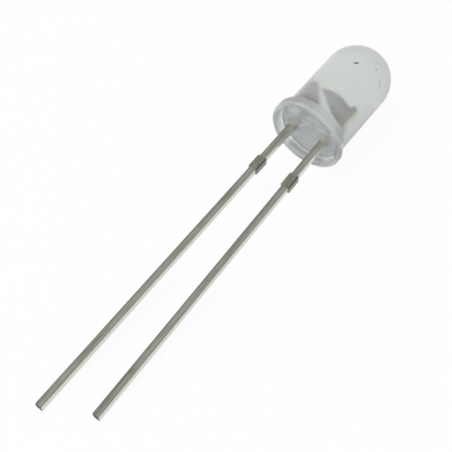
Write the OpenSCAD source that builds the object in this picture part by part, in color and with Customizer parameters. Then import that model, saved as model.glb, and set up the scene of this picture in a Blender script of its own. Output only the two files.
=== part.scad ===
// A through-hole light emitting diode with a milky cast lens.
// It is drawn upright, with the board face at height zero, and then laid down
// the way it comes to rest: on the rim of its flange and the ends of its leads.

/* [Lens] */
// Diameter of the straight barrel
barrel_d = 5.0; // [4.6:0.1:5.4]
// Height from the board face to the top of the dome
lens_h = 8.8; // [8:0.1:11]
// How far the flange stands out from the barrel
flange_lip = 0.35; // [0.3:0.05:0.5]
// Height of the flange
flange_h = 0.8; // [0.7:0.05:1.2]
// How far the polarity flat of the flange stands out from the barrel
flat_lip = 0.05; // [0.03:0.01:0.15]
// Radius of the rounded flange edges
edge_r = 0.12; // [0.06:0.01:0.2]

/* [Board face] */
// Width of the rim around the recess
rim_w = 0.35; // [0.3:0.05:0.6]
// Width of the rim along the polarity flat
rim_flat_w = 0.25; // [0.2:0.05:0.5]
// Depth of the recess
recess_depth = 0.5; // [0.4:0.05:0.6]
// How far the wall of the recess leans inwards
recess_lean = 0.12; // [0.08:0.02:0.3]
// Radius of the rounded corner at the foot of that wall
recess_round = 0.2; // [0.1:0.01:0.25]
// How far the resin fillet spreads around each lead
fillet_w = 0.3; // [0.2:0.01:0.4]
// Distance from the board face to the top of the resin fillet
fillet_top = 0.05; // [0.03:0.01:0.2]

/* [Leads] */
// Distance between the centre lines of the two leads
lead_pitch = 2.54; // [2.4:0.02:2.7]
// Width of each lead
lead_w = 0.5; // [0.4:0.01:0.56]
// Thickness of the stamped sheet
sheet_t = 0.5; // [0.4:0.01:0.56]
// Length of the anode lead below the board face
anode_len = 25.4; // [20:0.1:30]
// How much shorter the cathode lead is
cathode_short = 1.5; // [0.5:0.1:2]
// How far the end of the anode lead has leant towards the side of the flat
anode_lean = 0.17; // [0:0.01:0.3]
// How far the end of the cathode lead has leant towards the side of the flat
cathode_lean = 0.7; // [0.4:0.05:1]
// Distance from the board face to the tie bar stub
stub_gap = 3.3; // [2:0.1:5]
// Length of the tie bar stub along the lead
stub_len = 1.2; // [0.8:0.05:1.6]
// How far the tie bar stub stands out on each side of the lead
stub_out = 0.1; // [0.06:0.01:0.2]
// Width of the cut corner at each end of the stub
stub_chamfer = 0.05; // [0.02:0.01:0.1]

/* [Cathode anvil] */
// Height of the anvil top above the board face
anvil_top = 3.4; // [3.2:0.1:4.2]
// How far the anvil reaches from the axis towards the post
anvil_in = 0.8; // [0.74:0.01:0.9]
// How far the anvil reaches from the axis on its outer side
anvil_out = 1.3; // [1.2:0.01:1.4]
// Height of the blunt tip of the anvil beside the post
anvil_tip = 0.1; // [0.05:0.05:0.2]
// Width of the ear on the outer side of the anvil
ear_w = 0.42; // [0.3:0.02:0.5]
// How far the ear rises above the anvil top
ear_rise = 0.3; // [0.1:0.05:0.4]
// Width of the cut corner at each side of the ear
ear_chamfer = 0.1; // [0.05:0.01:0.14]
// Height of the bend in the lower edge of the anvil
knee_z = 2.15; // [2.05:0.05:2.3]
// How far the bend in the lower edge lies from the axis, on the outer side
knee_x = 0.1; // [0:0.02:0.3]
// Height at which the cathode lead starts to narrow to its neck
anvil_root = 0.9; // [0.7:0.05:1.1]
// Height of the neck below the anvil
neck_z = 1.55; // [1.4:0.05:1.7]
// Width of the neck
neck_w = 0.4; // [0.34:0.01:0.46]
// Height of the shoulder of the outer edge
anvil_shoulder = 2.2; // [1.9:0.1:2.6]

/* [Reflector cup] */
// Diameter of the cup mouth
cup_d = 1.1; // [0.9:0.05:1.2]
// Diameter of the cup floor
cup_floor_d = 0.6; // [0.56:0.02:0.7]
// Depth of the cup
cup_depth = 0.35; // [0.25:0.05:0.45]
// Wall of the cup at its mouth
cup_wall = 0.14; // [0.1:0.02:0.2]
// Height of the straight rim outside the cup
cup_rim_h = 0.2; // [0.1:0.05:0.3]
// Height of the taper from the sheet to the rim
cup_taper = 0.7; // [0.5:0.05:0.8]

/* [Anode post] */
// Clear gap between the anvil tip and the post
frame_gap = 0.18; // [0.12:0.01:0.3]
// How far the post rises above the anvil
post_rise = 0.3; // [0.2:0.05:0.8]
// Width of the top of the post
post_top_w = 0.38; // [0.3:0.02:0.5]
// Height of the foot of the post
post_foot = 2.0; // [1.9:0.05:2.3]
// Sideways lean of the inner edge for each unit of height
post_lean = 0.4; // [0.3:0.02:0.45]
// Height at which the anode lead starts to widen
post_root = 1.5; // [1.3:0.05:1.7]

/* [Chip and wire] */
// Side of the square chip
chip_w = 0.32; // [0.26:0.02:0.36]
// Height of the chip
chip_h = 0.15; // [0.1:0.01:0.18]
// Diameter of the silver adhesive under the chip
attach_d = 0.48; // [0.46:0.01:0.54]
// Thickness of the adhesive
attach_h = 0.03; // [0.02:0.005:0.05]
// Diameter of the bond wire
wire_d = 0.03; // [0.025:0.005:0.05]
// Diameter of the ball and of the stitch at the wire ends
bond_d = 0.1; // [0.08:0.01:0.12]
// Height of the ball and of the stitch
bond_h = 0.03; // [0.02:0.005:0.04]
// Height of the wire loop above the line between its ends
loop_h = 0.55; // [0.4:0.05:0.8]

/* [Hidden] */
$fn = 96;

// Small overshoot of cutting solids
over = 0.5;
// Number of sides of the wire and of its ends
wire_sides = 8;
// Number of stations along the wire loop
wire_steps = 20;

// Lens
barrel_r = barrel_d / 2;
flange_r = barrel_r + flange_lip;
flat_x = barrel_r + flat_lip;
flat_half = sqrt(flange_r * flange_r - flat_x * flat_x);
dome_z = lens_h - barrel_r;

// Board face
recess_r = flange_r - rim_w;
recess_flat = flat_x - rim_flat_w;
lead_core_r = sqrt(lead_w * lead_w + sheet_t * sheet_t) / 2;
wall_tilt = atan(recess_lean / recess_depth);
corner_z = recess_depth - recess_round;
fillet_core = lead_core_r + edge_r / 4;
fillet_h = recess_depth - fillet_top;
fillet_r = (fillet_w * fillet_w + fillet_h * fillet_h) / (2 * fillet_w);

// Leads
lead_x = lead_pitch / 2;
half_w = lead_w / 2;
half_t = sheet_t / 2;
cathode_len = anode_len - cathode_short;
stub_end = stub_gap + stub_len;
anode_tip_x = lead_x - anode_lean;
cathode_tip_x = -lead_x - cathode_lean;

// Cup, chip and wire heights
cup_r = cup_d / 2 + cup_wall;
cup_floor_z = anvil_top - cup_depth;
cup_rim_z = anvil_top - cup_rim_h;
chip_z = cup_floor_z + attach_h;
chip_top = chip_z + chip_h;

// Post
post_top = anvil_top + post_rise;
post_top_in = post_inner_x(post_top);
post_outer = post_top_in + post_top_w;
post_foot_in = post_inner_x(post_foot);
post_mid = (post_top_in + post_outer) / 2;

// The diode rests on the rounded lower edge of the flange and on one corner of each lead end.
// The resting plane has the normal (rest_a, 1, rest_s) in the upright frame.
rest_r = flange_r - edge_r;
rest_k = cathode_short / (anode_tip_x - cathode_tip_x);
rest_m = anode_len + edge_r - rest_k * (anode_tip_x - half_w);
rest_h = half_t - edge_r;
rest_mm = rest_m * rest_m - pow(rest_r * rest_k, 2);
rest_root = sqrt(pow(rest_m * rest_h, 2) + rest_mm * (pow(rest_r, 2) - pow(rest_h, 2)));
rest_s = (rest_root - rest_m * rest_h) / rest_mm;
rest_a = rest_k * rest_s;
rest_roll = atan(rest_a);
rest_tilt = atan(rest_s / sqrt(1 + rest_a * rest_a));
rest_lift = rest_r * cos(rest_tilt) - edge_r * sin(rest_tilt) + edge_r;

// Ends of the lying diode along and across, which centre it on the origin
far_x = dome_z * cos(rest_tilt) + barrel_r;
tip_rise = half_t * cos(rest_roll) + (anode_tip_x + half_w) * sin(rest_roll);
near_x = -anode_len * cos(rest_tilt) - tip_rise * sin(rest_tilt);
flat_y = flat_x * cos(rest_roll) + flat_half * sin(rest_roll);
mid_x = (far_x + near_x) / 2;
mid_y = (flange_r - flat_y) / 2;

// Inner edge of the post at a given height
function post_inner_x(z) = anvil_in + frame_gap + (z - anvil_top) * post_lean;

// Point on the centre line of the wire loop, for t from 0 to 1
function loop_x(t) = post_mid * (1 - cos(180 * t)) / 2;
function loop_z(t) = chip_top + (post_top - chip_top) * t + loop_h * sin(180 * t);
// Direction of the loop at t, as an angle from upright
function loop_dx(t) = post_mid * PI * sin(180 * t) / 2;
function loop_dz(t) = post_top - chip_top + loop_h * PI * cos(180 * t);
function loop_turn(t) = atan2(loop_dx(t), loop_dz(t));
// Corner number k of the wire section at t
function loop_corner(t, k) =
    let (
        u = wire_d / 2 * cos(360 * k / wire_sides),
        v = wire_d / 2 * sin(360 * k / wire_sides),
        turn = loop_turn(t)
    )
    [loop_x(t) + u * cos(turn), v, loop_z(t) - u * sin(turn)];

// Lays the upright diode down on its flange and lead ends
module lying() {
    translate([-mid_x, -mid_y, rest_lift])
        rotate([0, -rest_tilt, 0])
            rotate([rest_roll, 0, 0])
                rotate([90, 0, 90])
                    children();
}

// Turns a flat outline, drawn in width and height, into stamped sheet
module stamped() {
    rotate([90, 0, 0])
        linear_extrude(sheet_t, center = true)
            children();
}

// One edge of a lead past its tie bar stub, from the lead end upwards.
// The edge lies on the side given by side, which is 1 or -1, of the line at x.
function stub_edge(x, side) = [
    for (step = [
        [0, -stub_end],
        [stub_out - stub_chamfer, -stub_end],
        [stub_out, -stub_end + stub_chamfer],
        [stub_out, -stub_gap - stub_chamfer],
        [stub_out - stub_chamfer, -stub_gap],
        [0, -stub_gap]
    ])
    [x + side * (half_w + step[0]), step[1]]
];
function reversed(list) = [for (i = [len(list) - 1 : -1 : 0]) list[i]];

// Below the board face each point moves sideways by its share of the lean
function leant(point, lean, below) = [point[0] + lean * min(point[1], 0) / below, point[1]];

// Whole outline of a stamped lead at x: its end, its two stub edges and its head
module lead_outline(x, below, lean, head) {
    straight = concat(
        [[x + half_w, -below], [x - half_w, -below]],
        stub_edge(x, -1),
        [[x - half_w, 0]],
        head,
        [[x + half_w, 0]],
        reversed(stub_edge(x, 1))
    );
    polygon([for (point = straight) leant(point, lean, below)]);
}

// Anode lead: the longer one, with the post that takes the bond wire
module anode_solid() {
    post = [
        [lead_x - half_w, post_root],
        [post_foot_in, post_foot],
        [post_top_in, post_top],
        [post_outer, post_top],
        [post_outer, post_foot],
        [lead_x + half_w, post_root]
    ];
    stamped()
        lead_outline(lead_x, anode_len, anode_lean, post);
}

// Cathode lead: the shorter one, with the anvil that carries the reflector cup
module cathode_solid() {
    neck_in = -lead_x + half_w;
    ear_top = anvil_top + ear_rise;
    ear_in = ear_w - anvil_out;
    anvil = [
        [-lead_x - half_w, anvil_root],
        [neck_in - neck_w, neck_z],
        [-anvil_out, anvil_shoulder],
        [-anvil_out, ear_top - ear_chamfer],
        [ear_chamfer - anvil_out, ear_top],
        [ear_in - ear_chamfer, ear_top],
        [ear_in, ear_top - ear_chamfer],
        [ear_in, anvil_top],
        [anvil_in, anvil_top],
        [anvil_in, anvil_top - anvil_tip],
        [-knee_x, knee_z],
        [neck_in, neck_z]
    ];
    difference() {
        union() {
            stamped()
                lead_outline(-lead_x, cathode_len, cathode_lean, anvil);
            translate([0, 0, cup_rim_z])
                cylinder(h = cup_rim_h, r = cup_r);
            translate([0, 0, cup_rim_z - cup_taper])
                cylinder(h = cup_taper, r1 = half_t, r2 = cup_r);
        }
        cup_space();
    }
}

// Space inside the reflector cup
module cup_space() {
    cup_slope = (cup_d - cup_floor_d) / 2 / cup_depth;
    translate([0, 0, cup_floor_z])
        cylinder(
            h = cup_depth + over,
            r1 = cup_floor_d / 2,
            r2 = cup_floor_d / 2 + cup_slope * (cup_depth + over)
        );
}

// Square chip on its adhesive
module chip_solid() {
    translate([-chip_w / 2, -chip_w / 2, chip_z])
        cube([chip_w, chip_w, chip_h]);
}

// Round patch of silver adhesive on the cup floor
module attach_solid() {
    translate([0, 0, cup_floor_z])
        cylinder(h = attach_h, d = attach_d);
}

// Bond wire with its ball on the chip and its stitch on the post
module wire_solid() {
    points = [
        for (i = [0 : wire_steps], k = [0 : wire_sides - 1])
            loop_corner(i / wire_steps, k)
    ];
    sides = [
        for (i = [0 : wire_steps - 1], k = [0 : wire_sides - 1])
            let (
                a = i * wire_sides + k,
                b = i * wire_sides + (k + 1) % wire_sides
            )
            [a, a + wire_sides, b + wire_sides, b]
    ];
    first = [for (k = [0 : wire_sides - 1]) k];
    last = [for (k = [wire_sides - 1 : -1 : 0]) wire_steps * wire_sides + k];
    polyhedron(points, concat([first], sides, [last]), convexity = 4);
    translate([0, 0, chip_top])
        cylinder(h = bond_h, d = bond_d, $fn = wire_sides);
    translate([post_mid, 0, post_top])
        cylinder(h = bond_h, d = bond_d, $fn = wire_sides);
}

// Half section of the outside of the lens: flange with rounded edges, barrel and dome
module lens_profile() {
    square([flange_r - edge_r, flange_h]);
    translate([0, edge_r])
        square([flange_r, flange_h - 2 * edge_r]);
    translate([flange_r - edge_r, edge_r])
        circle(edge_r);
    translate([flange_r - edge_r, flange_h - edge_r])
        circle(edge_r);
    square([barrel_r, dome_z]);
    intersection() {
        translate([0, dome_z])
            circle(barrel_r);
        square([barrel_r, lens_h]);
    }
}

// Slope of the recess wall, and the centre of its rounded corner for a mouth at the given reach
function wall_x(reach, z) = reach - recess_lean * z / recess_depth;
function corner_x(reach) = wall_x(reach, corner_z) - recess_round / cos(wall_tilt);

// Half section of the recess, whose mouth reaches out to the given distance
module recess_section(reach) {
    polygon([
        [0, -over],
        [wall_x(reach, -over), -over],
        [corner_x(reach) + recess_round * cos(wall_tilt), corner_z + recess_round * sin(wall_tilt)],
        [corner_x(reach), corner_z],
        [corner_x(reach), recess_depth],
        [0, recess_depth]
    ]);
    translate([corner_x(reach), corner_z])
        circle(recess_round);
}

// Recess in the board face, with its leaning wall and its straight side along the flat
module recess_solid() {
    difference() {
        rotate_extrude()
            recess_section(recess_r);
        rotate([90, 0, 0])
            linear_extrude(4 * flange_r, center = true)
                mirror([1, 0])
                    difference() {
                        translate([recess_flat / 2, -2 * over])
                            square([flange_r, 3 * over + recess_depth]);
                        recess_section(recess_flat);
                        translate([0, recess_depth - over])
                            square([corner_x(recess_flat), 2 * over]);
                    }
    }
}

// Resin that climbs one lead inside the recess, upright at its top and hollow towards its foot
module lead_fillet() {
    rotate_extrude()
        difference() {
            translate([0, fillet_top])
                square([fillet_core + fillet_w, fillet_h + over]);
            translate([fillet_core + fillet_r, fillet_top])
                circle(fillet_r);
        }
}

// Cast lens, closed around everything that it holds
module lens_solid() {
    difference() {
        rotate_extrude()
            lens_profile();
        translate([-flat_x - 2 * flange_r, -2 * flange_r, -over])
            cube([2 * flange_r, 4 * flange_r, flange_h + 2 * over]);
        difference() {
            recess_solid();
            translate([lead_x, 0, 0])
                lead_fillet();
            translate([-lead_x, 0, 0])
                lead_fillet();
        }
        anode_solid();
        cathode_solid();
        chip_solid();
        attach_solid();
        wire_solid();
    }
}

module lens_body() {
    color([0.82, 0.84, 0.82, 0.6])
        lying()
            lens_solid();
}

module anode_lead() {
    color([0.6, 0.59, 0.55])
        lying()
            anode_solid();
}

module cathode_lead() {
    color([0.57, 0.56, 0.52])
        lying()
            cathode_solid();
}

module led_chip() {
    color([0.35, 0.4, 0.3])
        lying()
            chip_solid();
}

module die_attach() {
    color([0.75, 0.76, 0.76])
        lying()
            attach_solid();
}

module bond_wire() {
    color([0.9, 0.72, 0.3])
        lying()
            wire_solid();
}

lens_body();
anode_lead();
cathode_lead();
led_chip();
die_attach();
bond_wire();
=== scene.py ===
import math

import bpy
import numpy as np
from mathutils import Matrix, Vector


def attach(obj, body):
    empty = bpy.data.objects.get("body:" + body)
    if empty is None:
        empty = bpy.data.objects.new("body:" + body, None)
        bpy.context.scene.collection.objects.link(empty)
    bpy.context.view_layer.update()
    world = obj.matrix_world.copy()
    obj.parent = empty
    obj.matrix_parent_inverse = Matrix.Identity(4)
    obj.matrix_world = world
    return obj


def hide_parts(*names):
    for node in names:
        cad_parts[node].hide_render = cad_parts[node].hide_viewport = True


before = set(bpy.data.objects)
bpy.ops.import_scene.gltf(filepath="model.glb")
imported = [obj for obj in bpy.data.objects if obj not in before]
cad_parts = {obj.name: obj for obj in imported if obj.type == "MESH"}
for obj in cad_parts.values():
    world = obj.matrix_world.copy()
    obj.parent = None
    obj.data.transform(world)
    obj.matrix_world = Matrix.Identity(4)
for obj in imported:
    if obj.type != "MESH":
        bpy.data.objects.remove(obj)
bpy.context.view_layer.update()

# Everything is drawn upright in millimetres, as the CAD source draws it (board face at
# z = 0, dome up, anode lead at +x), and then laid down and scaled to metres.

# Lens
BARREL_R = 2.5
LENS_H = 8.8
DOME_Z = LENS_H - BARREL_R
FLANGE_R = 2.85
FLANGE_H = 0.8
FLAT_X = 2.55
EDGE_R = 0.12
# The seen flange stays a hair inside the CAD one
SEEN_FLANGE_R = 2.845
# Inside corner between the barrel and the flange
STEP_R = 0.09
# Softening of the two corners of the flat
FLAT_BLEND = 0.05

# Board face
RIM_W = 0.35
RIM_FLAT_W = 0.25
RECESS_DEPTH = 0.5
RECESS_LEAN = 0.12
MOUTH_R = 0.05
# Rounded corner at the foot of the recess wall, and how much wider it is near the floor
FOOT_R = 0.12
FOOT_MORE = 0.1
# Resin that climbs each lead, how far its top stays from the board face, and its round inside
CLIMB_W = 0.3
CLIMB_H = 0.45
CLIMB_TOP = 0.05
CLIMB_ROUND = 0.05

# Leads, with half the width of a lead, which is also half the thickness of its sheet
LEAD_X = 1.27
HALF = 0.25
ANODE_LEN = 25.4
CATHODE_LEN = 23.9
ANODE_LEAN = 0.17
CATHODE_LEAN = 0.7
STUB_TOP = -3.3
STUB_END = -4.5
STUB_OUT = 0.1

# Cathode anvil and its ear
ANVIL_TOP = 3.4
ANVIL_IN = 0.8
ANVIL_OUT = 1.3
ANVIL_TIP = 0.1
ANVIL_ROOT = 0.9
SHOULDER_Z = 2.2
KNEE_X = 0.1
KNEE_Z = 2.15
NECK_Z = 1.55
NECK_W = 0.4
EAR_IN = -0.88
EAR_TOP = 3.7

# Reflector cup
CUP_MOUTH_R = 0.55
CUP_FLOOR_R = 0.3
CUP_R = 0.69
CUP_FLOOR_Z = 3.05
CUP_RIM_Z = 3.2
CUP_TAPER_Z = 2.5

# Anode post
POST_TOP = 3.7
POST_TOP_IN = 1.1
POST_OUT = 1.48
POST_ROOT = 1.5
POST_FOOT = 2.0
POST_FOOT_IN = 0.42

# Lying pose: it rests on the rounded lower edge of the flange and on one corner of each lead end.
# The floor is the plane through both corners that just touches the flange. Its slope is rest_s
# along the axis, and rest_k * rest_s across it, since one lead is longer.
ANODE_TIP_X = LEAD_X - ANODE_LEAN
CATHODE_TIP_X = -LEAD_X - CATHODE_LEAN
rest_r = FLANGE_R - EDGE_R
rest_k = (ANODE_LEN - CATHODE_LEN) / (ANODE_TIP_X - CATHODE_TIP_X)
rest_m = ANODE_LEN + EDGE_R - rest_k * (ANODE_TIP_X - HALF)
rest_h = HALF - EDGE_R
rest_mm = rest_m**2 - (rest_r * rest_k) ** 2
rest_root = math.sqrt((rest_m * rest_h) ** 2 + rest_mm * (rest_r**2 - rest_h**2))
rest_s = (rest_root - rest_m * rest_h) / rest_mm
REST_ROLL = math.atan(rest_k * rest_s)
REST_TILT = math.atan(rest_s * math.cos(REST_ROLL))
rest_lift = rest_r * math.cos(REST_TILT) - EDGE_R * math.sin(REST_TILT) + EDGE_R

# Ends along and across, which centre it on the origin
far_x = DOME_Z * math.cos(REST_TILT) + BARREL_R
tip_rise = HALF * math.cos(REST_ROLL) + (ANODE_TIP_X + HALF) * math.sin(REST_ROLL)
near_x = -ANODE_LEN * math.cos(REST_TILT) - tip_rise * math.sin(REST_TILT)
flat_half = math.sqrt(FLANGE_R**2 - FLAT_X**2)
flat_y = FLAT_X * math.cos(REST_ROLL) + flat_half * math.sin(REST_ROLL)
BASE_AT = (-(far_x + near_x) / 2, -(FLANGE_R - flat_y) / 2, rest_lift)

# Upright to lying: (x, y, z) becomes (z, x, y), then roll about the axis, then tilt
AXES = Matrix(((0, 0, 1), (1, 0, 0), (0, 1, 0)))
LAY = Matrix.Rotation(-REST_TILT, 3, "Y") @ Matrix.Rotation(REST_ROLL, 3, "X") @ AXES
LAY_NP = np.array(LAY)
BASE_NP = np.array(BASE_AT)
MM = 0.001


def lie(points):
    """Upright millimetres to the row frame in metres."""
    return (np.asarray(points, float) @ LAY_NP.T + BASE_NP) * MM


def make_mesh(name, points, faces, material, sharp=38):
    """Laid-down mesh that is smooth but for edges sharper than that many degrees."""
    mesh = bpy.data.meshes.new(name)
    mesh.from_pydata([tuple(p) for p in lie(points)], [], faces)
    mesh.validate()
    mesh.update()
    mesh.polygons.foreach_set("use_smooth", [True] * len(mesh.polygons))
    mesh.set_sharp_from_angle(angle=math.radians(sharp))
    mesh.materials.append(material)
    piece = bpy.data.objects.new(name, mesh)
    bpy.context.scene.collection.objects.link(piece)
    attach(piece, "root")
    return piece


class Graph:
    """Small helper to write a node tree as plain lines."""

    def __init__(self, tree):
        self.tree = tree
        tree.nodes.clear()

    def feed(self, socket, value):
        """Link another node's output to a socket, or set the socket to a plain value."""
        if isinstance(value, bpy.types.NodeSocket):
            self.tree.links.new(value, socket)
        else:
            socket.default_value = value

    def add(self, kind, inputs=None, **settings):
        node = self.tree.nodes.new(kind)
        for key, value in settings.items():
            setattr(node, key, value)
        for key, value in (inputs or {}).items():
            self.feed(node.inputs[key], value)
        return node

    def math(self, operation, a, b=0.0, clamp=False):
        node = self.add("ShaderNodeMath", {0: a, 1: b}, operation=operation)
        node.use_clamp = clamp
        return node.outputs[0]

    def times(self, a, b, clamp=False):
        return self.math("MULTIPLY", a, b, clamp)

    def plus(self, a, b):
        return self.math("ADD", a, b)

    def minus(self, a, b, clamp=False):
        return self.math("SUBTRACT", a, b, clamp)

    def larger(self, a, b):
        return self.math("MAXIMUM", a, b)

    def size_of(self, value):
        return self.math("ABSOLUTE", value)

    def ramp(self, value, start, end, at_start=0.0, at_end=1.0):
        """Soft step from one level to another; the start may lie above the end."""
        node = self.add(
            "ShaderNodeMapRange",
            {0: value, 1: start, 2: end, 3: at_start, 4: at_end},
            interpolation_type="SMOOTHSTEP",
        )
        return node.outputs[0]

    def mask(self, measures, edges):
        """Product of soft edges, each with the measure's name, where it is 0 and where it is 1."""
        result = None
        for measure, zero_at, one_at in edges:
            edge = self.ramp(measures[measure], zero_at, one_at)
            result = edge if result is None else self.times(result, edge)
        return result

    def mix_color(self, factor, a, b):
        """Colour a where the factor is 0, and b where it is 1."""
        node = self.add("ShaderNodeMix", data_type="RGBA")
        self.feed(node.inputs[0], factor)
        for index, colour in ((6, a), (7, b)):
            plain = not isinstance(colour, bpy.types.NodeSocket)
            self.feed(node.inputs[index], (*colour, 1.0) if plain else colour)
        return node.outputs[2]

    def vector(self, operation, a, b):
        node = self.add("ShaderNodeVectorMath", {0: a, 1: b}, operation=operation)
        return node.outputs[0]

    def length(self, vector):
        node = self.add("ShaderNodeVectorMath", {0: vector}, operation="LENGTH")
        return node.outputs["Value"]

    def split(self, vector):
        return self.add("ShaderNodeSeparateXYZ", {0: vector}).outputs

    def noise(self, vector, scale=1.0, detail=3.0, rough=0.5):
        node = self.add(
            "ShaderNodeTexNoise",
            {"Vector": vector, "Scale": scale, "Detail": detail, "Roughness": rough},
        )
        return node.outputs[0]

    def stretch(self, vector, scale):
        node = self.add("ShaderNodeMapping", {"Vector": vector, "Scale": scale})
        return node.outputs[0]

    def bump(self, height, strength, distance):
        node = self.add(
            "ShaderNodeBump", {"Strength": strength, "Distance": distance, "Height": height}
        )
        return node.outputs[0]

    def surface(self, **inputs):
        """Principled shader as the material's surface; an underscore in a name is a space."""
        named = {key.replace("_", " "): value for key, value in inputs.items()}
        shader = self.add("ShaderNodeBsdfPrincipled", named)
        self.add("ShaderNodeOutputMaterial", {"Surface": shader.outputs[0]})


def new_material(name):
    material = bpy.data.materials.new(name)
    material.use_nodes = True
    return material, Graph(material.node_tree)


def upright(graph):
    """Object coordinates turned back to the upright frame, in millimetres."""
    back = LAY.transposed()
    offset = back @ Vector(BASE_AT)
    coord = graph.add("ShaderNodeTexCoord").outputs["Object"]
    node = graph.add(
        "ShaderNodeMapping",
        {
            "Vector": coord,
            "Location": tuple(-offset),
            "Rotation": tuple(back.to_euler()),
            "Scale": (1 / MM, 1 / MM, 1 / MM),
        },
    )
    return node.outputs[0]


def from_axis(graph, place):
    """Distance of a place from the lamp's own axis."""
    return graph.length(graph.stretch(place, (1.0, 1.0, 0.0)))


# Dirt specks and a scratch on the barrel, and two specks low down: place in the upright
# frame, radius, strength
SPECKS = (
    ((-0.135, 2.496, 5.545), 0.09, 0.4),
    ((-0.180, 2.493, 5.580), 0.12, 0.68),
    ((-0.235, 2.489, 5.625), 0.13, 0.9),
    ((-0.290, 2.483, 5.670), 0.13, 0.9),
    ((-0.335, 2.477, 5.706), 0.12, 0.68),
    ((-0.380, 2.471, 5.743), 0.09, 0.4),
    ((-1.482, 2.013, 6.330), 0.13, 0.4),
    ((-2.038, 1.448, 5.995), 0.12, 0.3),
    ((-2.110, 1.341, 5.938), 0.12, 0.32),
    ((-2.163, 1.253, 5.869), 0.12, 0.32),
    ((-2.198, 1.191, 5.759), 0.12, 0.32),
    ((-2.211, 1.167, 5.600), 0.12, 0.3),
    ((0.403, 2.467, 1.292), 0.14, 0.5),
    ((1.165, 2.600, 0.100), 0.14, 0.5),
)
# Share of a speck's radius that is evenly dark
SPECK_CORE = 0.4

# Places where the resin differs, as products of soft edges: what is measured, where the edge
# is 0 and where it is 1. Radius is the distance from the axis, sideways is x, with the flat at
# minus x, and upwards is y, with the floor at minus y.
BOARD_EDGES = (("radius", 2.3, 2.2), ("height", 1.2, 0.7))
WALL_EDGES = (("radius", 2.26, 2.34), ("height", 0.5, 0.46), ("radius", 2.7, 2.6))
RESIN_PLACES = {
    # painted shade: the flange ring greyer above its lower edge
    "ring": (("radius", 2.54, 2.62), ("height", 1.0, 0.86)),
    "lip": (("radius", 2.42, 2.5), ("height", 0.14, 0.07)),
    "collar": (("from_lead", 0.52, 0.3), ("height", 0.5, 0.36)),
    "board": BOARD_EDGES,
    "far_board": (*BOARD_EDGES, ("upwards", 0.6, 1.3), ("height", 0.44, 0.48)),
    # painted light: paler, hazier resin by the flat on the floor side, lifting it out of the
    # floor's shadow
    "lit_by_flat": (("sideways", -1.0, -1.8), ("upwards", -0.6, -1.3), ("height", 0.75, 0.6)),
    "wall": WALL_EDGES,
    # painted shade: the recess wall darker on the floor side
    "floor_wall_shade": (*WALL_EDGES, ("upwards", -1.65, -2.05), ("radius", 2.58, 2.5)),
    # painted highlight: a pale line on the board face along the foot of the wall, on the floor
    # side
    "highlight_margin": (
        ("radius", 1.95, 2.15),
        ("radius", 2.3, 2.22),
        ("height", 0.44, 0.48),
        ("height", 0.7, 0.6),
        ("upwards", -1.1, -1.6),
    ),
    # painted shade: the barrel greyer on its side towards the floor
    "underside_shade": (("upwards", 0.9, -1.1), ("height", 0.7, 1.1)),
    "milky": (("height", 0.7, 2.0),),
    "above_rim": (("height", 0.15, 0.3),),
    # painted shade on the floor side grows darker up the wall
    "shade_up_wall": (("height", 0.0, 0.35),),
}

# Resin colours, with the darker and the paler side of its clouds for the milky and the clear resin
MILKY_TINTS = ((0.80, 0.825, 0.795), (0.86, 0.885, 0.855))
CLEAR_TINTS = ((0.86, 0.895, 0.925), (0.90, 0.935, 0.965))
# Painted shade on the barrel's side towards the floor, and how much of it
UNDERSIDE_SHADE_TINT = (0.52, 0.55, 0.545)
UNDERSIDE_SHADE_SHARE = 0.6
# Painted shade on the flange ring: pale at its lower edge, greyer above
RIM_PALE_AND_SHADE_TINTS = ((0.96, 0.98, 0.965), (0.76, 0.785, 0.77))
# Painted light: the recess wall paler, so that it shows brighter through the flange
WALL_LIGHT_TINT = (0.95, 0.97, 0.96)
# Painted shade on the recess wall by the floor: at its bottom and higher up
FLOOR_WALL_SHADE_TINTS = ((0.58, 0.60, 0.59), (0.29, 0.31, 0.31))
# Painted highlight along the foot of the recess wall
MARGIN_HIGHLIGHT_TINT = (0.98, 0.98, 0.96)
# Painted light by the flat
BY_FLAT_LIGHT_TINT = (0.96, 0.98, 0.97)
COLLAR_TINT = (0.58, 0.57, 0.50)
DIRT_TINT = (0.05, 0.05, 0.045)

# Roughness and clearness of plain resin: two heights, and the value at each
PLAIN_ROUGH = (0.6, 1.0, 0.2, 0.28)
PLAIN_CLEAR = (0.7, 1.9, 0.90, 0.66)
# How much clearer or hazier the resin is in some places
CLEARER = (
    ("board", -0.1),
    ("far_board", -0.25),
    # hazier by the flat, as part of its painted light
    ("lit_by_flat", -0.18),
    ("ring", -0.12),
    ("wall", 0.08),
    ("collar", -0.22),
)
# How much rougher it is
ROUGHER = (("collar", 0.25), ("wall", 0.25))
EDGES_ROUGHER = 0.3


def dirt(graph, place):
    """Darkness of the specks and the scratch, 0 on clean resin."""
    marks = 0.0
    for centre, size, strength in SPECKS:
        moved = graph.vector("SUBTRACT", place, centre)
        share = graph.length(graph.vector("DIVIDE", moved, (size, size, size)))
        dot = graph.ramp(share, 1.0, SPECK_CORE)
        marks = graph.larger(marks, graph.times(dot, strength))
    return marks


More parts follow.
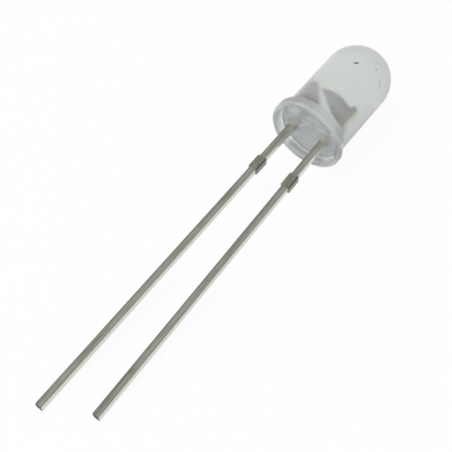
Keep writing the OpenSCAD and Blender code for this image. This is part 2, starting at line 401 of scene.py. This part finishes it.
def resin_colour(graph, masks, cloud):
    """Milky resin, bluer and clearer low down, with tints on the board side, most of them painted
    light and shade, and painted shade on the barrel's side towards the floor.
    """
    milky = graph.mix_color(cloud, *MILKY_TINTS)
    clear = graph.mix_color(cloud, *CLEAR_TINTS)
    colour = graph.mix_color(masks["milky"], clear, milky)
    underside_shade = graph.times(masks["underside_shade"], UNDERSIDE_SHADE_SHARE)
    tints = (
        (underside_shade, UNDERSIDE_SHADE_TINT),
        (masks["ring"], graph.mix_color(masks["above_rim"], *RIM_PALE_AND_SHADE_TINTS)),
        (masks["wall"], WALL_LIGHT_TINT),
        (masks["floor_wall_shade"], graph.mix_color(masks["shade_up_wall"], *FLOOR_WALL_SHADE_TINTS)),
        (masks["highlight_margin"], MARGIN_HIGHLIGHT_TINT),
        (masks["lit_by_flat"], BY_FLAT_LIGHT_TINT),
        (masks["collar"], COLLAR_TINT),
    )
    for mask, tint in tints:
        colour = graph.mix_color(mask, colour, tint)
    return colour


def resin_material():
    material, graph = new_material("milky_resin")
    place = upright(graph)
    sideways, upwards, height = graph.split(place)
    past_lead = graph.minus(graph.size_of(sideways), LEAD_X)
    measures = {
        "sideways": sideways,
        "upwards": upwards,
        "height": height,
        "radius": from_axis(graph, place),
        "from_lead": graph.larger(graph.size_of(past_lead), graph.size_of(upwards)),
    }
    masks = {name: graph.mask(measures, edges) for name, edges in RESIN_PLACES.items()}
    cloud = graph.noise(place, scale=0.9, detail=4.0, rough=0.6)
    marks = dirt(graph, place)
    colour = graph.mix_color(marks, resin_colour(graph, masks, cloud), DIRT_TINT)

    rough = graph.ramp(height, *PLAIN_ROUGH)
    edges = graph.larger(masks["ring"], masks["lip"])
    rough = graph.plus(rough, graph.times(edges, EDGES_ROUGHER))
    for name, more in ROUGHER:
        rough = graph.plus(rough, graph.times(masks[name], more))

    clearness = graph.ramp(height, *PLAIN_CLEAR)
    for name, more in CLEARER:
        clearness = graph.plus(clearness, graph.times(masks[name], more))
    clearness = graph.times(clearness, graph.minus(1.0, marks), clamp=True)

    grain = graph.noise(place, scale=5.0, detail=3.0)
    graph.surface(
        Base_Color=colour,
        Roughness=rough,
        IOR=1.5,
        Transmission_Weight=clearness,
        Normal=graph.bump(grain, strength=0.08, distance=0.00002),
    )
    return material


# Places on a lead: across is the distance from its middle line, with the flat's side negative
LEAD_PLACES = {
    # painted reflection: paler on the flat's side, standing for the bright floor mirrored in the
    # tin
    "lit_flat_side": (("across", 0.0, -0.2),),
    # a dark line along the top face near the flat's side
    "dark_line": (("across", -0.14, -0.17), ("across", -0.21, -0.185)),
    # painted reflection: the edge on the flat's side paler, still streaked
    "lit_flat_edge": (("across", -0.19, -0.24),),
    # painted shade: darker on the side away from the flat
    "far_side_shade": (("across", 0.06, 0.2),),
    "stub": (
        ("height", STUB_END - 0.02, STUB_END + 0.02),
        ("height", STUB_TOP + 0.02, STUB_TOP - 0.02),
    ),
    "stub_shear": (("across", -0.22, -0.27), ("across", -0.345, -0.33)),
    "stub_side": (("across", -0.335, -0.345),),
    "in_resin": (("height", 0.0, 0.2),),
    "in_barrel": (("height", 0.7, 1.1),),
    "above_neck": (("height", 1.3, 2.1),),
    "near_top": (("height", 2.5, 3.3),),
}

# Distances from the cut end where its colour starts and where it is full
CUT_END_START = 0.035
CUT_END_FULL = 0.01

# Lead roughness, at its least and most for the tin
TIN_ROUGH = (0.27, 0.42)
STUB_ROUGH = 0.58
CUT_END_ROUGH = 0.5
# Share of the fine grain in the relief
GRAIN_SHARE = 0.3

# Lead colours, dull and bright where there are two
TIN_TINTS = ((0.45, 0.44, 0.35), (0.76, 0.755, 0.66))
STAIN_TINT = (0.42, 0.36, 0.27)
PATCH_TINT = (0.48, 0.50, 0.51)
# Painted reflection on the flat's side
FLAT_SIDE_LIGHT_TINT = (0.80, 0.795, 0.70)
DARK_LINE_TINT = (0.29, 0.28, 0.22)
# Painted reflection on the edge by the flat, dull and bright with the streaks
FLAT_EDGE_LIGHT_TINTS = ((0.61, 0.605, 0.54), (0.75, 0.745, 0.67))
# Painted shade at the side away from the flat
FAR_SIDE_SHADE_TINT = (0.36, 0.35, 0.28)
STUB_TINTS = ((0.38, 0.37, 0.31), (0.62, 0.605, 0.52))
STUB_SHEAR_TINT = (0.17, 0.165, 0.135)
STUB_SIDE_TINT = (0.34, 0.33, 0.285)
CUT_END_TINT = (0.11, 0.105, 0.09)
# Flat face inside the resin, from the neck up; its darkening is partly dull metal and partly
# painted shade
INSIDE_TINTS = ((0.74, 0.73, 0.665), (0.27, 0.26, 0.225))
INSIDE_TOP_TINT = (0.17, 0.165, 0.14)
# Sheared edges inside the resin, on the inner and the outer side of a lead
EDGE_TINTS = ((0.60, 0.60, 0.53), (0.92, 0.90, 0.74))


def tin_colour(graph, place, masks, streak):
    """Streaked tin with stains; painted light paler on the flat's side and painted shade darker at
    the other side, with a dark line near the flat's side.
    """
    stain = graph.noise(graph.stretch(place, (3.0, 3.0, 0.9)), detail=4.0, rough=0.6)
    patch = graph.noise(graph.stretch(place, (1.2, 1.2, 0.4)), detail=2.0)
    colour = graph.mix_color(graph.ramp(streak, 0.36, 0.64), *TIN_TINTS)
    tints = (
        (graph.ramp(stain, 0.58, 0.72, 0.0, 0.6), STAIN_TINT),
        (graph.ramp(patch, 0.55, 0.75, 0.0, 0.45), PATCH_TINT),
        (graph.times(masks["lit_flat_side"], 0.6), FLAT_SIDE_LIGHT_TINT),
        (graph.times(masks["dark_line"], 0.6), DARK_LINE_TINT),
        (masks["lit_flat_edge"], graph.mix_color(streak, *FLAT_EDGE_LIGHT_TINTS)),
        (graph.times(masks["far_side_shade"], 0.65), FAR_SIDE_SHADE_TINT),
    )
    for mask, tint in tints:
        colour = graph.mix_color(mask, colour, tint)
    return colour


def stub_colour(graph, masks, grain):
    """Dull stub of the cut tie bar, with a dark sheared line."""
    colour = graph.mix_color(graph.ramp(grain, 0.4, 0.62), *STUB_TINTS)
    colour = graph.mix_color(masks["stub_shear"], colour, STUB_SHEAR_TINT)
    return graph.mix_color(masks["stub_side"], colour, STUB_SIDE_TINT)


def inside_colour(graph, masks, upwards, outwards):
    """What is inside the resin: flat face darker towards the top, partly dull metal and partly
    painted shade, pale sheared edges.
    """
    colour = graph.mix_color(masks["above_neck"], *INSIDE_TINTS)
    colour = graph.mix_color(masks["near_top"], colour, INSIDE_TOP_TINT)
    flat_face = graph.ramp(graph.size_of(upwards), 0.2, 0.235)
    edge_face = graph.minus(masks["in_barrel"], flat_face, clamp=True)
    pale = graph.mix_color(graph.ramp(outwards, 0.0, 0.02), *EDGE_TINTS)
    return graph.mix_color(edge_face, colour, pale)


def lead_material(name, centre, end, lean, outer):
    """Tin-plated stamped strip whose outer side, +1 or -1, is the one away from the axis."""
    material, graph = new_material(name)
    place = upright(graph)
    sideways, upwards, height = graph.split(place)
    leant = graph.times(graph.math("MINIMUM", height, 0.0), -lean / end)
    across = graph.minus(graph.minus(sideways, centre), leant)
    measures = {"across": across, "height": height}
    masks = {place_name: graph.mask(measures, edges) for place_name, edges in LEAD_PLACES.items()}
    streak = graph.noise(graph.stretch(place, (9.0, 9.0, 0.35)), detail=5.0, rough=0.65)
    grain = graph.noise(place, scale=14.0, detail=4.0, rough=0.7)
    cut_end = graph.ramp(height, end + CUT_END_START, end + CUT_END_FULL)

    colour = tin_colour(graph, place, masks, streak)
    colour = graph.mix_color(masks["stub"], colour, stub_colour(graph, masks, grain))
    colour = graph.mix_color(cut_end, colour, CUT_END_TINT)
    inside = inside_colour(graph, masks, upwards, graph.times(across, outer))
    colour = graph.mix_color(masks["in_resin"], colour, inside)

    rough = graph.ramp(streak, 0.3, 0.7, *TIN_ROUGH)
    rough = graph.larger(rough, graph.times(masks["stub"], STUB_ROUGH))
    rough = graph.larger(rough, graph.times(cut_end, CUT_END_ROUGH))
    relief = graph.plus(streak, graph.times(grain, GRAIN_SHARE))
    graph.surface(
        Base_Color=colour,
        Metallic=1.0,
        Roughness=rough,
        Normal=graph.bump(relief, strength=0.35, distance=0.00001),
    )
    return material


# Bond pad on the chip: its radius, the height above which it shows, and its soft edge
PAD_R = 0.06
PAD_Z = 3.22
PAD_SOFT = 0.005


def chip_material():
    """Sawn die: dark sides with saw marks, pale bond pad on top."""
    material, graph = new_material("die_surface")
    place = upright(graph)
    height = graph.split(place)[2]
    grain = graph.noise(place, scale=40.0, detail=3.0)
    saw = graph.noise(graph.stretch(place, (2.0, 2.0, 60.0)), detail=2.0)
    pad = graph.times(
        graph.ramp(from_axis(graph, place), PAD_R + PAD_SOFT, PAD_R),
        graph.ramp(height, PAD_Z, PAD_Z + PAD_SOFT),
    )
    colour = graph.mix_color(saw, (0.045, 0.06, 0.04), (0.12, 0.15, 0.10))
    colour = graph.mix_color(pad, colour, (0.72, 0.60, 0.36))
    colour = graph.mix_color(graph.times(grain, 0.25), colour, (0.2, 0.22, 0.2))
    graph.surface(Base_Color=colour, Metallic=pad, Roughness=0.32)
    return material


def adhesive_material():
    """Silver-filled epoxy: matte grey with small bright flakes."""
    material, graph = new_material("silver_paste")
    cells = graph.add("ShaderNodeTexVoronoi", {"Vector": upright(graph), "Scale": 45.0})
    bright = graph.ramp(graph.split(cells.outputs["Color"])[0], 0.55, 0.9)
    colour = graph.mix_color(bright, (0.36, 0.36, 0.37), (0.74, 0.74, 0.74))
    graph.surface(Base_Color=colour, Metallic=0.6, Roughness=0.45)
    return material


def gold_material():
    """Drawn gold wire with faint die lines along it."""
    material, graph = new_material("drawn_gold")
    line = graph.noise(graph.stretch(upright(graph), (30.0, 90.0, 8.0)), detail=3.0)
    colour = graph.mix_color(line, (0.78, 0.52, 0.18), (0.95, 0.72, 0.34))
    graph.surface(
        Base_Color=colour,
        Metallic=1.0,
        Roughness=graph.ramp(line, 0.3, 0.7, 0.18, 0.34),
    )
    return material


# Lens mesh: points round each ring, rings of each part, and where the rings of the barrel end
ANGLES = 240
DOME_ROWS = 41
BARREL_ROWS = 14
BARREL_LOW = 1.0
STEP_ROWS = 6
UPPER_EDGE_ROWS = 7
LOWER_EDGE_ROWS = 8
MOUTH_ROWS = 6
FOOT_ROWS = 7
BOARD_ROWS = 74
# Most of the flange lip that the step and the upper edge may take
STEP_SHARE = 0.4
UPPER_EDGE_SHARE = 0.5
# Rings between the roundings, as shares of the edge and of the rim, and heights on the wall
EDGE_SHARES = (0.3, 0.7)
RIM_SHARES = (0.35, 0.7)
WALL_HEIGHTS = (0.12, 0.22, 0.32)
# How far the rounding of the mouth ends inside it, where the leaning wall takes over
MOUTH_LEAN = 0.01
# Resin climbs only above this height and this far inside the mouth
INSIDE_Z = 0.04
INSIDE_GAP = 0.02
# Stand-ins for nothing and for far away
TINY = 1e-6
FAR = 1e9


def quarter_turn(rows):
    """Sine and cosine at even steps through a quarter turn, both ends included."""
    angles = [math.pi / 2 * i / (rows - 1) for i in range(rows)]
    return [(math.sin(a), math.cos(a)) for a in angles]


def d_outline(theta, radius, flat):
    """Circle of that radius with a flat at x = -flat, its two corners softened."""
    facing = -np.cos(theta)
    cut = np.where(facing > TINY, flat / np.maximum(facing, TINY), FAR)
    near = np.maximum(FLAT_BLEND - np.abs(radius - cut), 0.0) / FLAT_BLEND
    return np.minimum(radius, cut) - near * near * FLAT_BLEND / 4


def outside_rings(outer):
    """Rings of the dome, the barrel and the flange, from the top down to the board side."""
    lip = outer - BARREL_R
    for sine, cosine in quarter_turn(DOME_ROWS)[1:]:
        yield BARREL_R * sine, DOME_Z + BARREL_R * cosine
    for z in np.linspace(DOME_Z, BARREL_LOW, BARREL_ROWS)[1:]:
        yield BARREL_R, z
    step = np.minimum(STEP_R, STEP_SHARE * lip)
    for sine, cosine in quarter_turn(STEP_ROWS):
        yield BARREL_R + step * (1 - cosine), FLANGE_H + step * (1 - sine)
    top = np.minimum(EDGE_R, UPPER_EDGE_SHARE * lip)
    for sine, cosine in quarter_turn(UPPER_EDGE_ROWS):
        yield outer - top * (1 - sine), FLANGE_H - top * (1 - cosine)
    for share in EDGE_SHARES:
        yield outer, (FLANGE_H - top) * (1 - share) + EDGE_R * share
    for sine, cosine in quarter_turn(LOWER_EDGE_ROWS):
        yield outer - EDGE_R * (1 - cosine), EDGE_R * (1 - sine)


def recess_rings(theta, outer, mouth):
    """Rings of the rim, the recess wall and the board face, from the flange edge inwards."""
    for share in RIM_SHARES:
        yield (outer - EDGE_R) * (1 - share) + (mouth + MOUTH_R) * share, 0.0
    for i, (sine, cosine) in enumerate(quarter_turn(MOUTH_ROWS)):
        drawn_in = MOUTH_LEAN * i / (MOUTH_ROWS - 1)
        yield mouth + MOUTH_R * (1 - sine) - drawn_in, MOUTH_R * (1 - cosine)
    lean = RECESS_LEAN / RECESS_DEPTH
    for z in WALL_HEIGHTS:
        yield mouth - lean * z, z
    foot = FOOT_R + FOOT_MORE * np.maximum(-np.sin(theta), 0.0)
    corner = mouth - lean * (RECESS_DEPTH - foot)
    for sine, cosine in quarter_turn(FOOT_ROWS):
        yield corner - foot * (1 - cosine), RECESS_DEPTH - foot * (1 - sine)
    for i in range(1, BOARD_ROWS):
        yield (corner - foot) * (1 - i / BOARD_ROWS), RECESS_DEPTH


def climbed(x, y, height, in_recess):
    """Heights inside the recess once the resin has climbed each lead."""
    bow = (CLIMB_W**2 + CLIMB_H**2) / (2 * CLIMB_W)
    for side in (1, -1):
        away_x = np.maximum(np.abs(x - side * LEAD_X) - HALF + CLIMB_ROUND, 0.0)
        away_y = np.maximum(np.abs(y) - HALF + CLIMB_ROUND, 0.0)
        away = np.maximum(np.hypot(away_x, away_y) - CLIMB_ROUND, 0.0)
        reach = np.minimum(away, CLIMB_W)
        climb = CLIMB_H - np.sqrt(bow**2 - (bow - reach) ** 2)
        free = in_recess & (height > INSIDE_Z)
        height = np.where(free, np.maximum(height - climb, CLIMB_TOP), height)
    return height


def lens_faces(count):
    """Faces between that many rings, closed by a point at each end."""
    last = 1 + count * ANGLES
    for k in range(ANGLES):
        after = (k + 1) % ANGLES
        yield (0, 1 + k, 1 + after)
        for i in range(count - 1):
            a, b = 1 + i * ANGLES, 1 + (i + 1) * ANGLES
            yield (a + k, b + k, b + after, a + after)
        a = 1 + (count - 1) * ANGLES
        yield (last, a + after, a + k)


def lens_mesh(material):
    theta = np.arange(ANGLES) * 2 * math.pi / ANGLES
    outer = d_outline(theta, SEEN_FLANGE_R, FLAT_X)
    mouth = d_outline(theta, FLANGE_R - RIM_W, FLAT_X - RIM_FLAT_W)
    rings = [*outside_rings(outer), *recess_rings(theta, outer, mouth)]
    one = np.ones(ANGLES)
    radius = np.array([ring_radius * one for ring_radius, _ in rings])
    height = np.array([ring_height * one for _, ring_height in rings])
    x = radius * np.cos(theta)
    y = radius * np.sin(theta)
    height = climbed(x, y, height, radius < mouth - INSIDE_GAP)
    points = [(0.0, 0.0, LENS_H)]
    for ring in zip(x, y, height):
        points.extend(zip(*ring))
    points.append((0.0, 0.0, RECESS_DEPTH))
    faces = list(lens_faces(len(rings)))
    piece = make_mesh("resin_lens", points, faces, material, sharp=60)
    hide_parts("lens_body")


# Corners of a lead: steps round each, radius on the strip and on its stub, and the most that a
# radius may be as a share of the width
CORNER = 4
ROUND = 0.065
STUB_ROUND = 0.02
MOST_ROUND = 0.48
# Distance of the rows on either side of a bend, and below a rounded top edge
NEAR = 0.05
# How far the section has drawn in at some heights above the cut end
CUT_END_ROWS = ((0.0, 0.035), (0.008, 0.018), (0.03, 0.004), (0.06, 0.0))
# Even rows from that far above the cut end to just below the stub
STRIP_ROWS = 44
STRIP_START = 0.5
# How far the stub stands out at some distances from its ends
STUB_ROWS = ((0.002, STUB_OUT - 0.045), (0.05, STUB_OUT), (0.35, STUB_OUT))
# Rows of the strip above the stub, and rows between the bends of the post and of the anvil
UPPER_ROWS = (-3.2, -2.6, -2.0, -1.4, -0.8, -0.2, 0.4)
POST_ROWS = (2.6, 3.2)
ANVIL_ROWS = (2.6, 3.0)
# Narrowing of the rounded top edge of a head at some heights above its last full row
TOP_ROWS = ((0.03, 0.006), (0.05, 0.03))
# How far the corners of the ear are cut at some heights, and the share its faces take of it
EAR_ROWS = ((3.3, 0.0), (3.5, 0.0), (3.58, 0.01), (3.63, 0.04), (3.67, 0.09), (EAR_TOP, 0.16))
EAR_FACE = 0.2
# Sheet beside the cup: where it starts, and its inner edge as height and distance from the axis
WING_FOOT_Z = 2.9
CUP_EDGE = ((WING_FOOT_Z, 0.2), (CUP_FLOOR_Z, 0.36), (ANVIL_TOP, 0.6))
# Cup: sides, bevel of its rim, softer edges, and the slope at the edge of its floor
CUP_SIDES = 48
CUP_BEVEL = 0.03
CUP_SOFT = 0.02
FLOOR_OUT = 0.01
FLOOR_UP = 0.005


def section(x0, x1, half_y, radius):
    """Rectangle with rounded corners, anticlockwise seen from above."""
    radius = min(radius, MOST_ROUND * (x1 - x0))
    ring = []
    for cx, cy, start in (
        (x1 - radius, half_y - radius, 0),
        (x0 + radius, half_y - radius, 90),
        (x0 + radius, radius - half_y, 180),
        (x1 - radius, radius - half_y, 270),
    ):
        for i in range(CORNER + 1):
            a = math.radians(start + 90 * i / CORNER)
            ring.append((cx + radius * math.cos(a), cy + radius * math.sin(a)))
    return ring


def loft(rows):
    """Closed solid through rows of (z, x0, x1, half_y, corner radius)."""
    points, faces = [], []
    size = 4 * (CORNER + 1)
    for z, x0, x1, half_y, radius in rows:
        points.extend((px, py, z) for px, py in section(x0, x1, half_y, radius))
    for i in range(len(rows) - 1):
        a, b = i * size, (i + 1) * size
        for k in range(size):
            n = (k + 1) % size
            faces.append((a + k, a + n, b + n, b + k))
    faces.append(tuple(reversed(range(size))))
    faces.append(tuple(range((len(rows) - 1) * size, len(rows) * size)))
    return points, faces


def revolve(profile, sides):
    """Solid of revolution about z; the profile starts and ends on the axis."""
    points = [(0.0, 0.0, profile[0][1])]
    for r, z in profile[1:-1]:
        for k in range(sides):
            a = 2 * math.pi * k / sides
            points.append((r * math.cos(a), r * math.sin(a), z))
    points.append((0.0, 0.0, profile[-1][1]))
    rings = len(profile) - 2
    faces = []
    for k in range(sides):
        n = (k + 1) % sides
        faces.append((0, 1 + n, 1 + k))
        for i in range(rings - 1):
            a, b = 1 + i * sides, 1 + (i + 1) * sides
            faces.append((a + k, a + n, b + n, b + k))
        a = 1 + (rings - 1) * sides
        faces.append((a + k, a + n, len(points) - 1))
    return points, faces


def joined(*parts):
    """Several closed solids as one mesh."""
    points, faces = [], []
    for part_points, part_faces in parts:
        start = len(points)
        points.extend(part_points)
        faces.extend(tuple(start + i for i in face) for face in part_faces)
    return points, faces


def strip_rows(centre, end, lean):
    """Rows of the straight strip, from its cut end up to just inside the resin."""
    rows = []

    def row(z, half_w, half_y=HALF, radius=ROUND):
        middle = centre + lean * min(z, 0.0) / -end
        rows.append((z, middle - half_w, middle + half_w, half_y, radius))

    for z, cut in CUT_END_ROWS:
        row(end + z, HALF - cut, HALF - cut)
    for z in np.linspace(end + STRIP_START, STUB_END - NEAR, STRIP_ROWS):
        row(z, HALF)
    row(STUB_END, HALF)
    for z, out in STUB_ROWS:
        row(STUB_END + z, HALF + out, HALF, STUB_ROUND)
    for z, out in reversed(STUB_ROWS):
        row(STUB_TOP - z, HALF + out, HALF, STUB_ROUND)
    row(STUB_TOP, HALF)
    for z in UPPER_ROWS:
        row(z, HALF)
    return rows


def around(z):
    """Rows just below, at and just above a bend."""
    return z - NEAR, z, z + NEAR


def head_rows(left, right, heights):
    """Rows of the stamped head between two edges given as (z, x) points."""
    rows = []
    for z in heights:
        x0 = float(np.interp(z, [p[0] for p in left], [p[1] for p in left]))
        x1 = float(np.interp(z, [p[0] for p in right], [p[1] for p in right]))
        rows.append((z, x0, x1, HALF, ROUND))
    return rows


def top_rows(row):
    """Rounded top edge above a last full row."""
    z, x0, x1, half_y, radius = row
    return [(z + up, x0 + cut, x1 - cut, half_y - cut, radius) for up, cut in TOP_ROWS]


def anode_mesh(material):
    rows = strip_rows(LEAD_X, -ANODE_LEN, ANODE_LEAN)
    left = [(POST_ROOT, LEAD_X - HALF), (POST_FOOT, POST_FOOT_IN), (POST_TOP, POST_TOP_IN)]
    right = [(POST_ROOT, LEAD_X + HALF), (POST_FOOT, POST_OUT), (POST_TOP, POST_OUT)]
    heights = (*around(POST_ROOT), *around(POST_FOOT), *POST_ROWS, POST_TOP - NEAR)
    rows += head_rows(left, right, heights)
    rows += top_rows(rows[-1])
    points, faces = loft(rows)
    piece = make_mesh("anode_strip", points, faces, material)
    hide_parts("anode_lead")


def cup_solid():
    """Reflector cup: tapered foot, straight rim with soft edges, sloping inside."""
    return revolve(
        [
            (0.0, CUP_TAPER_Z),
            (HALF, CUP_TAPER_Z),
            (CUP_R - CUP_SOFT, CUP_RIM_Z - CUP_BEVEL),
            (CUP_R, CUP_RIM_Z + CUP_SOFT),
            (CUP_R, ANVIL_TOP - CUP_BEVEL),
            (CUP_R - CUP_BEVEL, ANVIL_TOP),
            (CUP_MOUTH_R + CUP_BEVEL, ANVIL_TOP),
            (CUP_MOUTH_R, ANVIL_TOP - CUP_SOFT),
            (CUP_FLOOR_R + FLOOR_OUT, CUP_FLOOR_Z + FLOOR_UP),
            (CUP_FLOOR_R - CUP_SOFT, CUP_FLOOR_Z),
            (0.0, CUP_FLOOR_Z),
        ],
        CUP_SIDES,
    )


def cathode_mesh(material):
    rows = strip_rows(-LEAD_X, -CATHODE_LEN, CATHODE_LEAN)
    neck_in = HALF - LEAD_X
    left = [
        (ANVIL_ROOT, -LEAD_X - HALF),
        (NECK_Z, neck_in - NECK_W),
        (SHOULDER_Z, -ANVIL_OUT),
        (EAR_TOP, -ANVIL_OUT),
    ]
    right = [
        (NECK_Z, neck_in),
        (KNEE_Z, -KNEE_X),
        (ANVIL_TOP - ANVIL_TIP, ANVIL_IN),
        (ANVIL_TOP, ANVIL_IN),
    ]
    bends = (*around(ANVIL_ROOT), *around(NECK_Z), (NECK_Z + KNEE_Z) / 2, *around(KNEE_Z))
    rows += head_rows(left, right, (*bends, SHOULDER_Z + NEAR, *ANVIL_ROWS))
    parts = [loft(rows)]
    top_heights = (CUP_RIM_Z, ANVIL_TOP - ANVIL_TIP, ANVIL_TOP - NEAR)
    for side in (-1, 1):
        cup_edge = [(z, side * x) for z, x in CUP_EDGE]
        edges = (left, cup_edge) if side < 0 else (cup_edge, right)
        wing = head_rows(*edges, (WING_FOOT_Z, CUP_FLOOR_Z, *top_heights))
        parts.append(loft(wing + top_rows(wing[-1])))
    ear = [
        (z, cut - ANVIL_OUT, EAR_IN - cut, HALF - EAR_FACE * cut, ROUND - EAR_FACE * cut)
        for z, cut in EAR_ROWS
    ]
    parts += [loft(ear), cup_solid()]
    points, faces = joined(*parts)
    piece = make_mesh("cathode_strip", points, faces, material)
    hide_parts("cathode_lead")


# How much of the floor is plain white for the camera and in gloss, and through the resin
SEEN_WHITE = 0.94
THROUGH_WHITE = 0.55
# Half the side of the floor, in metres, and the darker and paler side of its paper
FLOOR_REACH = 1.5
PAPER_TINTS = ((0.86, 0.86, 0.86), (0.89, 0.89, 0.89))
# Studio round it: level and overhead, and the rise over which one becomes the other
SKY_TINTS = ((0.74, 0.74, 0.74), (0.43, 0.44, 0.45))
SKY_RISE = (0.05, 0.75)
# Light: place, aim and size in metres, and power in watts
LIGHT_AT = (-0.14, 0.09, 0.46)
LIGHT_AIM = (0.0, 0.0, 0.0)
LIGHT_SIZE = 0.3
LIGHT_POWER = 1.45


def floor_material():
    """White paper, part of it glowing so that it reads as plain white; the rest takes shadow."""
    material, graph = new_material("white_floor")
    path = graph.add("ShaderNodeLightPath").outputs
    seen = graph.larger(path["Is Camera Ray"], path["Is Glossy Ray"])
    through = graph.times(path["Is Transmission Ray"], THROUGH_WHITE)
    share = graph.larger(graph.times(seen, SEEN_WHITE), through)
    place = graph.add("ShaderNodeTexCoord").outputs["Object"]
    paper = graph.noise(place, scale=180.0, detail=2.0)
    paper_colour = graph.mix_color(paper, *PAPER_TINTS)
    matte = graph.add("ShaderNodeBsdfDiffuse", {"Color": paper_colour})
    glow = graph.add("ShaderNodeEmission", {"Color": (1.0, 1.0, 1.0, 1.0), "Strength": 1.0})
    both = graph.add(
        "ShaderNodeMixShader", {0: share, 1: matte.outputs[0], 2: glow.outputs[0]}
    )
    graph.add("ShaderNodeOutputMaterial", {"Surface": both.outputs[0]})
    return material


def make_floor():
    far = FLOOR_REACH
    mesh = bpy.data.meshes.new("floor")
    corners = [(-far, -far, 0.0), (far, -far, 0.0), (far, far, 0.0), (-far, far, 0.0)]
    mesh.from_pydata(corners, [], [(0, 1, 2, 3)])
    mesh.materials.append(floor_material())
    floor = bpy.data.objects.new("floor", mesh)
    bpy.context.scene.collection.objects.link(floor)


def make_world():
    """Plain pale studio, a little darker overhead."""
    world = bpy.data.worlds.new("studio")
    world.use_nodes = True
    bpy.context.scene.world = world
    sky = Graph(world.node_tree)
    rise = sky.split(sky.add("ShaderNodeTexCoord").outputs["Generated"])[2]
    walls = sky.mix_color(sky.ramp(rise, *SKY_RISE), *SKY_TINTS)
    light = sky.add("ShaderNodeBackground", {"Color": walls})
    sky.add("ShaderNodeOutputWorld", {"Surface": light.outputs[0]})


def make_light():
    """Broad soft light that leaves no glint of its own in the metal."""
    data = bpy.data.lights.new("key", "AREA")
    data.shape = "DISK"
    data.size = LIGHT_SIZE
    data.energy = LIGHT_POWER
    light = bpy.data.objects.new("key", data)
    light.location = LIGHT_AT
    light.rotation_mode = "QUATERNION"
    aim = Vector(LIGHT_AIM) - Vector(LIGHT_AT)
    light.rotation_quaternion = aim.to_track_quat("-Z", "Y")
    light.visible_glossy = False
    bpy.context.scene.collection.objects.link(light)


# Camera, fitted to the photograph: its place and axes in the upright frame, and its focal
# length in pixels of the photograph's frame
EYE = (-21.6285, 49.0804, -34.3869)
SIDE_AXIS = (-0.79605, -0.03911, 0.60397)
LOOK_AXIS = (0.36411, -0.82807, 0.42629)
FOCAL_PX = 920.0
FRAME_PX = 452.0
SENSOR_W = 36.0
CLIP_NEAR = 0.001
CLIP_FAR = 10.0


def make_camera():
    data = bpy.data.cameras.new("camera")
    data.sensor_width = SENSOR_W
    data.lens = FOCAL_PX / FRAME_PX * SENSOR_W
    data.clip_start = CLIP_NEAR
    data.clip_end = CLIP_FAR
    side_axis = (LAY @ Vector(SIDE_AXIS)).normalized()
    look_axis = (LAY @ Vector(LOOK_AXIS)).normalized()
    up_axis = side_axis.cross(look_axis).normalized()
    turn = Matrix((side_axis, up_axis, -look_axis)).transposed().to_4x4()
    place = (LAY @ Vector(EYE) + Vector(BASE_AT)) * MM
    camera = bpy.data.objects.new("camera", data)
    camera.matrix_world = Matrix.Translation(place) @ turn
    bpy.context.scene.collection.objects.link(camera)
    bpy.context.scene.camera = camera


# The lamp
lens_mesh(resin_material())
anode_mesh(lead_material("tinned_anode", LEAD_X, -ANODE_LEN, ANODE_LEAN, 1.0))
cathode_mesh(lead_material("tinned_cathode", -LEAD_X, -CATHODE_LEN, CATHODE_LEAN, -1.0))

for node_name, material, slot_name in (
    ("led_chip", chip_material(), "chip"),
    ("die_attach", adhesive_material(), "silver_adhesive"),
    ("bond_wire", gold_material(), "gold_wire"),
):
    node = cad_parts[node_name]
    node.data.materials.clear()
    node.data.materials.append(material)

# Floor, light and camera
make_floor()
make_world()
make_light()
make_camera()
bpy.context.scene.view_settings.view_transform = "Standard"
